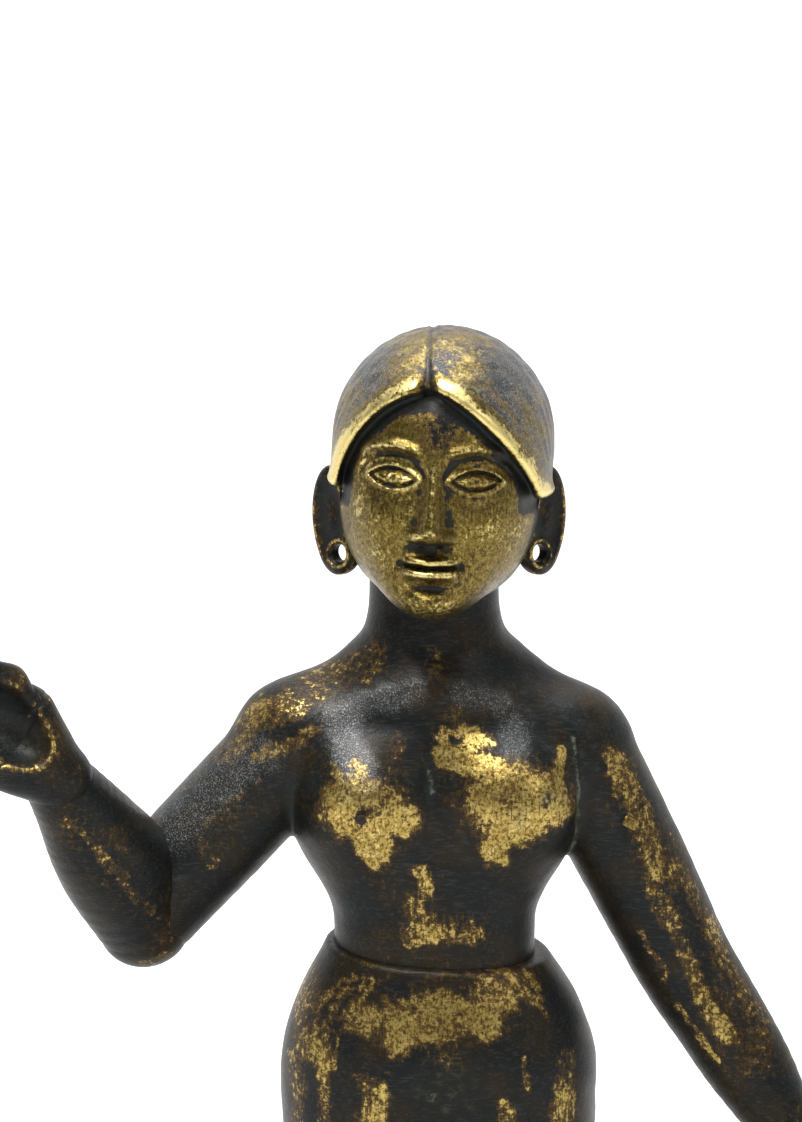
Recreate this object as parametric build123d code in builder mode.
"""Standing two-armed brass figure on a round lotus pedestal, cast in sections.

Millimetres, +Z up, the figure faces -Y, and its own right hand is on -X. The origin is the centre of
the pedestal's flat underside. The hollow castings keep their clay cores. The sections meet on spigots
and dowels, and the figure drops into the pedestal on a tenon under each foot.
"""

import os

from build123d import *

# Heights of the main levels.
PLINTH_TOP = 13.0
SOLE = 38.0
HEM = 51.0
WAIST = 220.3
CHIN = 285.0
NECK_TOP = 291.0
CROWN = 343.0

WALL = 4.6
CORE_GAP = 0.1
FIT = 0.05
BALL_SHARE = 1.02

# Stations of the columns: (height, x, y, half width, half depth).
LOWER_BODY_STATIONS = [
    (HEM, 0.0, 1.5, 25.0, 20.5),
    (57.0, 0.0, 1.5, 24.0, 19.5),
    (80.0, 0.0, 1.0, 23.4, 18.5),
    (112.0, 0.0, 0.5, 25.6, 19.5),
    (145.0, 0.0, 0.5, 28.6, 21.5),
    (170.0, 0.2, 1.0, 31.6, 23.0),
    (186.0, 0.2, 1.5, 32.2, 23.8),
    (198.0, 0.1, 1.5, 31.4, 23.5),
    (208.0, -0.3, 1.0, 28.0, 21.5),
    (215.0, -0.7, 0.5, 24.4, 19.0),
    (225.0, -1.0, 0.0, 19.6, 16.6),
]
TORSO_STATIONS = [
    (214.0, -1.0, 0.0, 20.4, 16.4),
    (222.0, -1.0, 0.0, 20.4, 16.2),
    (229.0, -1.0, 0.0, 20.2, 15.8),
    (236.0, -0.9, 0.5, 24.4, 16.5),
    (243.0, -0.9, 1.0, 28.4, 17.4),
    (252.0, -1.0, 1.5, 30.6, 17.6),
    (261.0, -1.0, 2.0, 32.4, 16.6),
    (267.0, -0.9, 2.5, 30.6, 14.8),
    (273.5, -0.8, 3.0, 22.4, 13.4),
    (280.0, -0.9, 3.0, 16.6, 12.6),
    (285.0, -1.1, 3.0, 13.3, 12.3),
    (NECK_TOP, -1.1, 3.0, 12.6, 12.2),
]
# The head's stations are on its own plane, with heights over the head's centre.
HEAD_STATIONS = [
    (-29.0, 0.0, -9.0, 6.0, 7.0),
    (-26.5, 0.0, -7.0, 11.4, 12.4),
    (-22.0, 0.0, -4.5, 15.4, 18.0),
    (-15.0, 0.0, -2.0, 18.6, 22.4),
    (-6.0, 0.0, 0.0, 21.2, 25.0),
    (3.0, 0.0, 0.6, 22.0, 25.8),
    (11.0, 0.0, 0.8, 21.0, 25.0),
    (19.0, 0.0, 0.8, 18.2, 21.8),
    (24.5, 0.0, 0.5, 13.8, 16.8),
    (27.6, 0.0, 0.2, 8.6, 10.6),
    (29.0, 0.0, 0.0, 3.4, 4.4),
]
HEAD_CENTRE = (0.2, -0.5, 0.5 * (CHIN + CROWN))
HEAD_TURN = -4.5
HEAD_TILT = 3.0
HEAD_PLANE = Plane(Location(HEAD_CENTRE, (0, HEAD_TILT, HEAD_TURN)))

# The waist joint dips to the front and to the figure's left.
WAIST_PLANE = Plane(Location((-1.0, 0, WAIST), (5.0, 3.5, 0)))
WAIST_SPIGOT = (15.4, 11.6)
WAIST_SPIGOT_DEPTH = 9.0
NECK_CENTRE = (-1.1, 3.0)
NECK_SPIGOT_RADIUS = 8.6
NECK_SPIGOT_TOP = 300.0

# Points of the arms. The upper arms meet the torso on upright planes.
RIGHT_SHOULDER_X = -29.3
LEFT_SHOULDER_X = 27.8
RIGHT_SHOULDER = Vector(-29.6, 2.0, 256.4)
RIGHT_ELBOW = Vector(-61.3, 0.5, 223.6)
RIGHT_WRIST = Vector(-76.1, -24.0, 257.3)
LEFT_SHOULDER = Vector(28.3, 2.0, 255.2)
LEFT_ELBOW = Vector(48.2, 4.0, 215.6)
LEFT_WRIST = Vector(70.4, -2.0, 180.4)
UPPER_ARM_RADII = [11.7, 11.6, 11.2]
FOREARM_RADII = [11.2, 11.3, 9.8, 6.7]
LEFT_ARM_RADII = [11.8, 11.0, 9.8, 8.8, 6.8]
RIGHT_FINGERS = Vector(-0.74, -0.18, 0.65)
RIGHT_THUMB_SIDE = Vector(0.55, 0.35, 0.76)
LEFT_FINGERS = Vector(0.50, -0.10, -0.86)
LEFT_THUMB_SIDE = Vector(0.25, -0.95, 0.10)

# The elbow's mitre halves the bend of the right arm.
ELBOW_AXIS = (RIGHT_ELBOW - RIGHT_SHOULDER).normalized() + (RIGHT_WRIST - RIGHT_ELBOW).normalized()
ELBOW_PLANE = Plane(RIGHT_ELBOW, z_dir=ELBOW_AXIS)

# Hands, on their own plane: (along, across, half width, half depth), then (root, length) of each finger.
PALM_STATIONS = [
    (-1.5, 0.0, 6.8, 5.6),
    (4.0, 0.3, 7.6, 5.2),
    (11.0, 0.0, 9.2, 4.4),
    (18.5, -0.2, 8.8, 3.3),
]
FINGERS = [(6.3, 15.0), (2.1, 17.0), (-2.1, 15.8), (-6.1, 12.6)]
FINGER_RADII = [2.5, 2.3, 1.8]
THUMB_RADII = [3.3, 2.8, 2.1]
PALM_HOLLOW_RADIUS = 10.8

# Feet: (y, half width, half height), then (across, radius, y) of each toe, from the great toe out.
FOOT_X = 11.4
ANKLE_Y = 4.5
ANKLE_RADIUS = 7.0
ANKLE_DEPTH = 9.0
FOOT_STATIONS = [
    (13.5, 4.8, 4.6),
    (8.0, 6.9, 6.6),
    (-1.0, 7.6, 7.4),
    (-12.0, 8.2, 5.6),
    (-22.0, 9.0, 3.8),
    (-26.5, 8.6, 2.9),
]
TOES = [(-6.0, 3.3, -27.6), (-1.4, 2.7, -28.3), (2.2, 2.5, -27.4), (5.3, 2.3, -26.0), (7.8, 2.1, -24.2)]
TENON_RADIUS = 4.5
TENON_LENGTH = 17.0
TENON_PLAY = 0.25

BREAST_RADIUS = 13.2
BREAST_POINTS = [(-15.0, -8.6, 249.0), (14.6, -8.6, 249.0)]

PLINTH_RADIUS = 48.0
SEAT_RADIUS = 38.0
SEAT_WAIST = 34.5
SEAT_BORE = 29.0
SEAT_ROOF = 6.0
PETAL_COUNT = 16
PETAL_HALF_WIDTH = 7.4
PETAL_ROWS = [(27.0, (41.0, 35.5)), (24.0, (42.5, 15.0))]
PETAL_THICKNESS = 2.8
RIVET_CIRCLE = 32.0
RIVET_RADIUS = 1.8
RIVET_TOP = 24.0
RIVET_SINK = 0.3
TOP_ALIGNED = (Align.CENTER, Align.CENTER, Align.MAX)


# Ears: thin leaves with a pierced lobe, standing out from the head. Side is -1 for the figure's right.
EAR_PLACE = (20.2, 1.5, 304.0)
EAR_SHIFT = -0.1
EAR_HALF = (5.2, 11.0)
EAR_THICKNESS = 2.6
LOBE = (-0.9, -6.6)
LOBE_RADIUS = 4.0
LOBE_HOLE_RADIUS = 1.8
# The side of the head is hollowed behind each lobe by this much more than the hole, so a ring can pass.
LOBE_CLEARANCE = 0.4

BUN_CENTRE = (3.4, 27.0, 321.0)
BUN_STATIONS = [(-8.0, 12.0), (-3.0, 15.5), (1.5, 15.5), (5.5, 12.0), (7.6, 6.5)]

# The clay cores, as stations of their own planes. The lower body's core follows its wall instead.
HEAD_CORE_STATIONS = [
    (-10.0, 0.0, -1.0, 15.0, 18.6),
    (3.0, 0.0, 0.6, 17.2, 21.0),
    (12.0, 0.0, 0.8, 16.0, 20.0),
    (19.0, 0.0, 0.8, 12.8, 16.2),
    (24.0, 0.0, 0.5, 8.6, 11.2),
]
TORSO_CORE_STATIONS = [
    (226.5, -1.0, 0.0, 13.5, 9.6),
    (240.0, -1.0, 0.5, 17.0, 11.2),
    (254.0, -1.0, 1.5, 18.6, 11.8),
    (264.0, -1.0, 2.5, 16.0, 8.6),
]
HEAD_CORE_RANGE = (-9.0, 23.0)
TORSO_CORE_RANGE = (227.0, 263.0)
LOWER_CORE_RANGE = (66.0, 204.0)

# Every pin and dowel is (centre, direction, half length, radius). Those that come out through a
# casting's outside are cut off flush with it.
RIGHT_SHOULDER_DOWEL = ((RIGHT_SHOULDER_X, 2.0, 257.0), (1, 0, 0), 7.0, 2.6)
LEFT_SHOULDER_DOWEL = ((LEFT_SHOULDER_X, 2.0, 254.5), (1, 0, 0), 7.0, 2.6)
ELBOW_DOWEL = (RIGHT_ELBOW, ELBOW_AXIS, 6.5, 2.0)
RIGHT_WRIST_DOWEL = (RIGHT_WRIST, RIGHT_FINGERS, 6.0, 1.8)
LEFT_WRIST_DOWEL = (LEFT_WRIST, LEFT_FINGERS, 6.0, 1.8)
BUN_DOWEL = ((3.4, 26.5, 321.0), (0, 1, 0), 4.8, 1.8)
NECK_RIVET = ((-1.1, 13.0, 295.5), (0, 1, 0), 7.0, 1.5)
WAIST_RIVETS = [
    ((-10.0, 12.0, 215.5), (-0.6, 0.8, 0), 8.0, 1.5),
    ((8.0, 12.0, 215.5), (0.6, 0.8, 0), 8.0, 1.5),
]
ANKLE_PINS = [((side * FOOT_X, 16.0, HEM + 4.5), (0, 1, 0), 8.0, 1.5) for side in (-1, 1)]
TORSO_CORE_PINS = [((-15.6, -13.0, 247.0), (0, 1, 0), 11.0, 0.9), ((-1.0, 15.0, 245.0), (0, 1, 0), 6.0, 0.9)]
LOWER_CORE_PINS = [((side * 24.0, 1.0, 130.0), (1, 0, 0), 6.0, 0.9) for side in (-1, 1)]
HEAD_CORE_PIN = ((1.7, 21.0, 308.0), (0, 1, 0), 6.0, 0.9)

# The repair patch let into the front of the left upper arm.
PATCH_PLANE = Plane((38.4, -7.2, 243.8), x_dir=(0.86, 0, -0.5), z_dir=(0.12, -0.98, 0.16))
PATCH_SIZE = (3.2, 2.2)
PATCH_DEPTH = 1.6

def column(plane, stations, inset=0.0):
    """One loft through ellipses on planes parallel to the given one."""
    with BuildPart() as body:
        for height, x, y, half_width, half_depth in stations:
            with BuildSketch(plane.offset(height)):
                with Locations((x, y)):
                    Ellipse(half_width - inset, half_depth - inset)
        loft()
    return body.part


def cavity(plane, stations, low, high, inset):
    """The part of a column's inside between two heights."""
    with BuildPart() as body:
        add(column(plane, stations, inset))
        split(bisect_by=plane.offset(low), keep=Keep.TOP)
        split(bisect_by=plane.offset(high), keep=Keep.BOTTOM)
    return body.part


def limb(points, radii, side=(0, 1, 0)):
    """A round limb along a smooth path, with a slightly fuller ball at both ends."""
    with BuildPart() as body:
        with BuildLine() as axis:
            Spline(*points)
        path = axis.line
        for i, radius in enumerate(radii):
            share = i / (len(radii) - 1)
            with BuildSketch(Plane(path @ share, x_dir=side, z_dir=path % share)):
                Circle(radius)
        loft()
        with Locations(path @ 0):
            Sphere(BALL_SHARE * radii[0])
        with Locations(path @ 1):
            Sphere(BALL_SHARE * radii[-1])
    return body.part


def dowel(centre, direction, half_length, radius):
    """A round bar centred on a point."""
    along = Vector(direction).normalized()
    with BuildPart() as body:
        with BuildSketch(Plane(Vector(centre) - along * half_length, z_dir=along)):
            Circle(radius)
        extrude(amount=2 * half_length)
    return body.part


def drill(*pins):
    """Cuts a close-fitting hole for each pin into the piece being built."""
    for centre, direction, half_length, radius in pins:
        add(dowel(centre, direction, half_length + FIT, radius + FIT), mode=Mode.SUBTRACT)


def flush(pin, form):
    """A pin cut off flush with the outside of the form that it comes out of."""
    with BuildPart() as body:
        add(dowel(*pin))
        add(form, mode=Mode.INTERSECT)
    return body.part


def hand(wrist, fingers, thumb_side, palm):
    """Open hand on its own plane: fingers along local Z, the thumb on +X, the palm on palm times Y."""
    plane = Plane(wrist, x_dir=thumb_side, z_dir=fingers)
    thumb = [(5.0, 0.8 * palm, 5.0), (10.2, 2.6 * palm, 11.0), (12.0, 5.4 * palm, 18.0)]
    knuckles = PALM_STATIONS[-1][0] - 2.5
    with BuildPart() as body:
        for height, x, half_width, half_depth in PALM_STATIONS:
            with BuildSketch(plane.offset(height)):
                with Locations((x, 0)):
                    Ellipse(half_width, half_depth)
        loft()
        for x, length in FINGERS:
            root = (x, 0, knuckles)
            middle = (1.06 * x, palm, knuckles + 1 + 0.5 * length)
            tip = (1.12 * x, 4.6 * palm, knuckles + 1 + length)
            add(limb([plane.from_local_coords(p) for p in (root, middle, tip)], FINGER_RADII, thumb_side))
        add(limb([plane.from_local_coords(p) for p in thumb], THUMB_RADII, thumb_side))
        with Locations(plane.from_local_coords((0, 13.6 * palm, 10.5))):
            Sphere(PALM_HOLLOW_RADIUS, mode=Mode.SUBTRACT)
        split(bisect_by=plane, keep=Keep.TOP)
    return body.part


def foot(side):
    """A foot with its ankle and the tenon under its sole. Side is -1 for the figure's right."""
    x = side * FOOT_X
    with BuildPart() as body:
        for y, half_width, half_height in FOOT_STATIONS:
            with BuildSketch(Plane((x, y, SOLE + 0.55 * half_height), x_dir=(1, 0, 0), z_dir=(0, -1, 0))):
                Ellipse(half_width, half_height)
        loft()
        for across, radius, y in TOES:
            with Locations((x + side * across, y, SOLE + 0.7 * radius)):
                Sphere(radius)
        with Locations((x, ANKLE_Y, HEM + ANKLE_DEPTH)):
            Cylinder(ANKLE_RADIUS, ANKLE_DEPTH + HEM - SOLE - 4, align=TOP_ALIGNED)
        split(bisect_by=Plane.XY.offset(SOLE), keep=Keep.TOP)
        with Locations((x, ANKLE_Y, SOLE + 1)):
            Cylinder(TENON_RADIUS, TENON_LENGTH + 1, align=TOP_ALIGNED)
    return body.part


def ear_plane(side):
    """The plane of one ear, facing forwards and outwards."""
    x, y, z = EAR_PLACE
    place = (side * x + EAR_SHIFT, y, z)
    return Plane(place, x_dir=(side * 0.8, 0.6, 0), z_dir=(side * 0.6, -0.8, 0))


def lobe_clearance(side):
    """The room left in the side of the head behind one pierced lobe."""
    across, along = LOBE
    with BuildPart() as body:
        with BuildSketch(ear_plane(side)):
            with Locations((across, side * along)):
                Circle(LOBE_HOLE_RADIUS + LOBE_CLEARANCE)
        extrude(amount=EAR_THICKNESS / 2 + LOBE_CLEARANCE, both=True)
    return body.part


def ear(side):
    """A flat ear leaf with its pierced lobe, before it is fitted to the head."""
    with BuildPart() as body:
        with BuildSketch(ear_plane(side)):
            across, along = LOBE
            Ellipse(*EAR_HALF)
            with Locations((across, side * along)):
                Circle(LOBE_RADIUS)
                Circle(LOBE_HOLE_RADIUS, mode=Mode.SUBTRACT)
        extrude(amount=EAR_THICKNESS / 2, both=True)
    return body.part


def petal(base, tip, half_width):
    """One pointed lotus petal on the XZ plane's +X side, from (radius, height) at its base to its tip."""
    lean = Vector(tip[0] - base[0], 0, tip[1] - base[1])
    plane = Plane((base[0], 0, base[1]), x_dir=(0, 1, 0), z_dir=Vector(0, 1, 0).cross(lean))
    shoulder = (half_width, 0.45 * lean.length)
    root = (0.72 * half_width, 0)
    with BuildPart() as body:
        with BuildSketch(plane):
            with BuildLine():
                Spline(root, shoulder, (0, lean.length))
                mirror(about=Plane.YZ)
                Line(root, (-root[0], 0))
            make_face()
        extrude(amount=PETAL_THICKNESS / 2, both=True)
    return body.part


def save(builder, node):
    """Labels a finished piece and writes it."""
    builder.part.label = node
    export_step(builder.part, f"parts/{node}.step")


os.makedirs("parts", exist_ok=True)

# The pedestal: a solid turned plinth, a hollow lotus seat on it, and four rivets.
rivet_places = PolarLocations(RIVET_CIRCLE, 4, 45)

with BuildPart() as plinth:
    with BuildSketch(Plane.XZ):
        with BuildLine():
            Polyline((0, 0), (PLINTH_RADIUS - 1, 0), (PLINTH_RADIUS, 1), (PLINTH_RADIUS, 4.5))
            RadiusArc((PLINTH_RADIUS, 4.5), (PLINTH_RADIUS - 5, 9.5), 5)
            Polyline((PLINTH_RADIUS - 5, 9.5), (PLINTH_RADIUS - 4, PLINTH_TOP), (0, PLINTH_TOP), (0, 0))
        make_face()
    revolve(axis=Axis.Z)
    with BuildSketch():
        with rivet_places:
            Circle(RIVET_RADIUS + FIT)
    extrude(amount=PLINTH_TOP, mode=Mode.SUBTRACT)
save(plinth, "plinth")

with BuildPart() as lotus_seat:
    with BuildSketch(Plane.XZ):
        with BuildLine():
            Polyline((0, SOLE), (SEAT_RADIUS - 1, SOLE), (SEAT_RADIUS, SOLE - 1), (SEAT_RADIUS, SOLE - 3))
            Spline((SEAT_RADIUS, SOLE - 3), (SEAT_WAIST, 25.5), (SEAT_RADIUS, PLINTH_TOP + 3))
            Polyline((SEAT_RADIUS, PLINTH_TOP + 3), (SEAT_RADIUS + 1, PLINTH_TOP), (SEAT_BORE, PLINTH_TOP))
            Polyline((SEAT_BORE, PLINTH_TOP), (SEAT_BORE, SOLE - SEAT_ROOF), (0, SOLE - SEAT_ROOF), (0, SOLE))
        make_face()
    revolve(axis=Axis.Z)
    for (root_height, tip), turn in zip(PETAL_ROWS, (0.0, 0.5)):
        with PolarLocations(0, PETAL_COUNT, turn * 360 / PETAL_COUNT):
            add(petal((SEAT_WAIST - 0.5, root_height), tip, PETAL_HALF_WIDTH))
    with Locations((-FOOT_X, ANKLE_Y, SOLE), (FOOT_X, ANKLE_Y, SOLE)):
        Cylinder(TENON_RADIUS + TENON_PLAY, SEAT_ROOF, align=TOP_ALIGNED, mode=Mode.SUBTRACT)
    with BuildSketch(Plane.XY.offset(PLINTH_TOP)):
        with rivet_places:
            Circle(RIVET_RADIUS + FIT)
    extrude(amount=RIVET_TOP - PLINTH_TOP, mode=Mode.SUBTRACT)
save(lotus_seat, "lotus_seat")

with BuildPart() as pedestal_rivets:
    with BuildSketch(Plane.XY.offset(RIVET_SINK)):
        with rivet_places:
            Circle(RIVET_RADIUS)
    extrude(amount=RIVET_TOP - RIVET_SINK)
save(pedestal_rivets, "pedestal_rivets")

# The figure's outer forms, before the joints are cut.
head_form = column(HEAD_PLANE, HEAD_STATIONS)
lower_form = column(Plane.XY, LOWER_BODY_STATIONS)

with BuildPart() as pierced_head_form:
    add(head_form)
    add([lobe_clearance(side) for side in (-1, 1)], mode=Mode.SUBTRACT)

with BuildPart() as torso_form:
    add(column(Plane.XY, TORSO_STATIONS))
    with Locations(*BREAST_POINTS):
        Sphere(BREAST_RADIUS)

# The lower body, with the valley between the legs down its front and a socket for each ankle.
lower_cavity = cavity(Plane.XY, LOWER_BODY_STATIONS, *LOWER_CORE_RANGE, WALL)
valley = limb([(0, -31, HEM - 22), (0, -30, 110), (0, -32, 172)], [10, 10, 10])
with BuildPart() as lower_body:
    add(lower_form)
    split(bisect_by=WAIST_PLANE, keep=Keep.BOTTOM)
    add(lower_cavity, mode=Mode.SUBTRACT)
    add(valley, mode=Mode.SUBTRACT)
    with BuildSketch(WAIST_PLANE):
        Ellipse(WAIST_SPIGOT[0] + FIT, WAIST_SPIGOT[1] + FIT)
    extrude(amount=-WAIST_SPIGOT_DEPTH - FIT, mode=Mode.SUBTRACT)
    with Locations((-FOOT_X, ANKLE_Y, HEM + ANKLE_DEPTH + FIT), (FOOT_X, ANKLE_Y, HEM + ANKLE_DEPTH + FIT)):
        Cylinder(ANKLE_RADIUS + FIT, ANKLE_DEPTH + 1, align=TOP_ALIGNED, mode=Mode.SUBTRACT)
    drill(*WAIST_RIVETS, *ANKLE_PINS, *LOWER_CORE_PINS)
save(lower_body, "lower_body")

# The torso, with a spigot down into the lower body and one up into the head.
torso_cavity = cavity(Plane.XY, TORSO_CORE_STATIONS, *TORSO_CORE_RANGE, 0)
with BuildPart() as torso:
    add(torso_form.part)
    split(bisect_by=WAIST_PLANE, keep=Keep.TOP)
    split(bisect_by=Plane.YZ.offset(RIGHT_SHOULDER_X), keep=Keep.TOP)
    split(bisect_by=Plane.YZ.offset(LEFT_SHOULDER_X), keep=Keep.BOTTOM)
    with BuildSketch(WAIST_PLANE):
        Ellipse(*WAIST_SPIGOT)
    extrude(amount=-WAIST_SPIGOT_DEPTH)
    with BuildSketch(Plane.XY.offset(NECK_TOP)):
        with Locations(NECK_CENTRE):
            Circle(NECK_SPIGOT_RADIUS)
    extrude(amount=NECK_SPIGOT_TOP - NECK_TOP)
    add(torso_cavity, mode=Mode.SUBTRACT)
    drill(RIGHT_SHOULDER_DOWEL, LEFT_SHOULDER_DOWEL, NECK_RIVET, *WAIST_RIVETS, *TORSO_CORE_PINS)
save(torso, "torso")

# The head, fitted down over the neck, with its ears and the knot of hair at the back.
head_cavity = cavity(HEAD_PLANE, HEAD_CORE_STATIONS, *HEAD_CORE_RANGE, 0)
with BuildPart() as head:
    add(pierced_head_form.part)
    add(torso_form.part, mode=Mode.SUBTRACT)
    with BuildSketch(Plane.XY.offset(NECK_TOP)):
        with Locations(NECK_CENTRE):
            Circle(NECK_SPIGOT_RADIUS + FIT)
    extrude(amount=NECK_SPIGOT_TOP - NECK_TOP + FIT, mode=Mode.SUBTRACT)
    add(head_cavity, mode=Mode.SUBTRACT)
    drill(NECK_RIVET, BUN_DOWEL, HEAD_CORE_PIN)
save(head, "head")

for node, side in ("right_ear", -1), ("left_ear", 1):
    with BuildPart() as leaf:
        add(ear(side))
        add(pierced_head_form.part, mode=Mode.SUBTRACT)
    save(leaf, node)

with BuildPart() as hair_bun:
    for y, radius in BUN_STATIONS:
        with BuildSketch(Plane(BUN_CENTRE, x_dir=(1, 0, 0), z_dir=(0, 1, 0)).offset(y)):
            Circle(radius)
    loft()
    add(head_form, mode=Mode.SUBTRACT)
    drill(BUN_DOWEL)
save(hair_bun, "hair_bun")

# The arms. The right one has a mitred elbow, the left one is a single casting with a let-in patch.
right_arm_points = [RIGHT_SHOULDER, (RIGHT_SHOULDER + RIGHT_ELBOW) * 0.5, RIGHT_ELBOW]
with BuildPart() as right_upper_arm:
    add(limb(right_arm_points, UPPER_ARM_RADII))
    split(bisect_by=Plane.YZ.offset(RIGHT_SHOULDER_X), keep=Keep.BOTTOM)
    split(bisect_by=ELBOW_PLANE, keep=Keep.BOTTOM)
    add(torso.part, mode=Mode.SUBTRACT)
    drill(RIGHT_SHOULDER_DOWEL, ELBOW_DOWEL)
save(right_upper_arm, "right_upper_arm")

with BuildPart() as right_forearm:
    add(limb([RIGHT_ELBOW, (RIGHT_ELBOW + RIGHT_WRIST) * 0.5, RIGHT_WRIST], FOREARM_RADII))
    split(bisect_by=ELBOW_PLANE, keep=Keep.TOP)
    split(bisect_by=Plane(RIGHT_WRIST, z_dir=RIGHT_FINGERS), keep=Keep.BOTTOM)
    drill(ELBOW_DOWEL, RIGHT_WRIST_DOWEL)
save(right_forearm, "right_forearm")

left_arm_points = [LEFT_SHOULDER, (LEFT_SHOULDER + LEFT_ELBOW) * 0.5, LEFT_ELBOW, LEFT_WRIST]
left_arm_form = limb(left_arm_points, LEFT_ARM_RADII)
with BuildPart() as repair_patch:
    with BuildSketch(PATCH_PLANE):
        Rectangle(*PATCH_SIZE)
    extrude(amount=PATCH_DEPTH, both=True)
    add(left_arm_form, mode=Mode.INTERSECT)
save(repair_patch, "repair_patch")

with BuildPart() as left_arm:
    add(left_arm_form)
    split(bisect_by=Plane.YZ.offset(LEFT_SHOULDER_X), keep=Keep.TOP)
    split(bisect_by=Plane(LEFT_WRIST, z_dir=LEFT_FINGERS), keep=Keep.BOTTOM)
    with BuildSketch(PATCH_PLANE):
        Rectangle(PATCH_SIZE[0] + 2 * FIT, PATCH_SIZE[1] + 2 * FIT)
    extrude(amount=PATCH_DEPTH + FIT, both=True, mode=Mode.SUBTRACT)
    drill(LEFT_SHOULDER_DOWEL, LEFT_WRIST_DOWEL)
save(left_arm, "left_arm")

hands = (
    ("right_hand", RIGHT_WRIST, RIGHT_FINGERS, RIGHT_THUMB_SIDE, -1, RIGHT_WRIST_DOWEL),
    ("left_hand", LEFT_WRIST, LEFT_FINGERS, LEFT_THUMB_SIDE, 1, LEFT_WRIST_DOWEL),
)
for node, wrist, fingers, thumb_side, palm, wrist_dowel in hands:
    with BuildPart() as cast_hand:
        add(hand(wrist, fingers, thumb_side, palm))
        drill(wrist_dowel)
    save(cast_hand, node)

for node, side, ankle_pin in ("right_foot", -1, ANKLE_PINS[0]), ("left_foot", 1, ANKLE_PINS[1]):
    with BuildPart() as cast_foot:
        add(foot(side))
        drill(ankle_pin)
    save(cast_foot, node)

# The clay cores that are left in the hollow castings, and the iron pins that held them.
cores = (
    ("head_core", HEAD_PLANE, HEAD_CORE_STATIONS, HEAD_CORE_RANGE, 0, [HEAD_CORE_PIN]),
    ("torso_core", Plane.XY, TORSO_CORE_STATIONS, TORSO_CORE_RANGE, 0, TORSO_CORE_PINS),
    ("lower_body_core", Plane.XY, LOWER_BODY_STATIONS, LOWER_CORE_RANGE, WALL, LOWER_CORE_PINS),
)
for node, plane, stations, (low, high), inset, pins in cores:
    with BuildPart() as core:
        add(cavity(plane, stations, low + CORE_GAP, high - CORE_GAP, inset + CORE_GAP))
        drill(*pins)
    save(core, node)

with BuildPart() as core_pins:
    add(flush(HEAD_CORE_PIN, head_form))
    for pin in TORSO_CORE_PINS:
        add(flush(pin, torso_form.part))
    for pin in LOWER_CORE_PINS:
        add(flush(pin, lower_form))
save(core_pins, "core_pins")

# Rivets, ankle pins and dowels.
with BuildPart() as neck_rivet:
    add(flush(NECK_RIVET, head_form))
save(neck_rivet, "neck_rivet")

for node, pins in ("waist_rivets", WAIST_RIVETS), ("ankle_pins", ANKLE_PINS):
    with BuildPart() as group:
        for pin in pins:
            add(flush(pin, lower_form))
    save(group, node)

dowels = (
    ("right_shoulder_dowel", RIGHT_SHOULDER_DOWEL),
    ("left_shoulder_dowel", LEFT_SHOULDER_DOWEL),
    ("elbow_dowel", ELBOW_DOWEL),
    ("right_wrist_dowel", RIGHT_WRIST_DOWEL),
    ("left_wrist_dowel", LEFT_WRIST_DOWEL),
    ("bun_dowel", BUN_DOWEL),
)
for node, pin in dowels:
    with BuildPart() as bar:
        add(dowel(*pin))
    save(bar, node)
